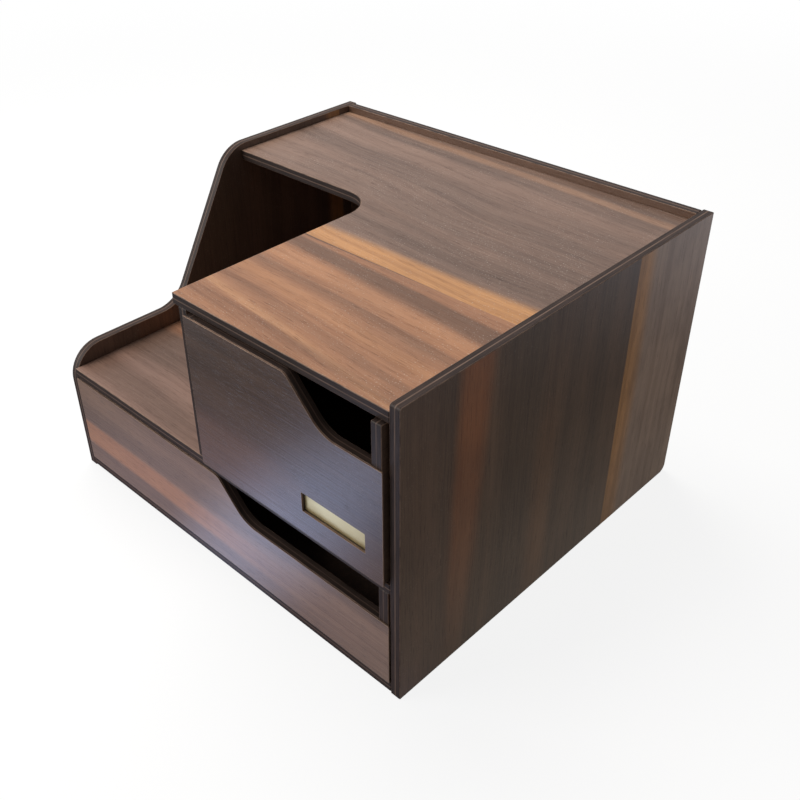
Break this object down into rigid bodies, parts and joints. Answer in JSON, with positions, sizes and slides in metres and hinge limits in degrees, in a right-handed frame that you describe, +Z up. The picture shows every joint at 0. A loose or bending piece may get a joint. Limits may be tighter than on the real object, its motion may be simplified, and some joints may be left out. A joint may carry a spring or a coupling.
{
  "type": "desk organizer",
  "caption": "Veneered board desk organizer with an open stepped cubby, a shallow rimmed tray on top and sliding drawers with S-shaped finger cut-outs.",
  "frame": {"origin": "middle of the footprint's box at rest, on the desk", "axes": "+X to the right along the front, +Y from front to back, +Z up"},
  "size_m": [0.33, 0.2988, 0.2115],
  "materials": {
    "walnut_board": "dark walnut veneer under a satin lacquer, with stained cut edges",
    "walnut_face": "thin walnut sheet under a satin lacquer, grain along the front",
    "thin_board": "thin dark board, smooth",
    "brass_plate": "pale brushed brass, bare"
  },
  "bodies": {
    "case": {"left_side_panel": "walnut_board", "right_side_panel": "walnut_board", "back_panel": "walnut_board", "bottom_panel": "walnut_board", "shelf": "walnut_board", "divider": "walnut_board", "top_panel": "walnut_board"},
    "upper_drawer": {"upper_drawer_face": "walnut_face", "upper_drawer_front": "walnut_board", "upper_drawer_left_wall": "walnut_board", "upper_drawer_right_wall": "walnut_board", "upper_drawer_back_wall": "walnut_board", "upper_drawer_bottom": "thin_board", "label_plate": "brass_plate"},
    "lower_drawer": {"lower_drawer_face": "walnut_face", "lower_drawer_front": "walnut_board", "lower_drawer_left_wall": "walnut_board", "lower_drawer_right_wall": "walnut_board", "lower_drawer_back_wall": "walnut_board", "lower_drawer_bottom": "thin_board"}
  },
  "joints": [
    {"name": "upper_drawer_slide", "type": "slide", "parent": "case", "child": "upper_drawer", "axis": [0, -1, 0], "range_m": [-0.0038, 0.2]},
    {"name": "lower_drawer_slide", "type": "slide", "parent": "case", "child": "lower_drawer", "axis": [0, -1, 0], "range_m": [-0.0009, 0.2]}
  ]
}
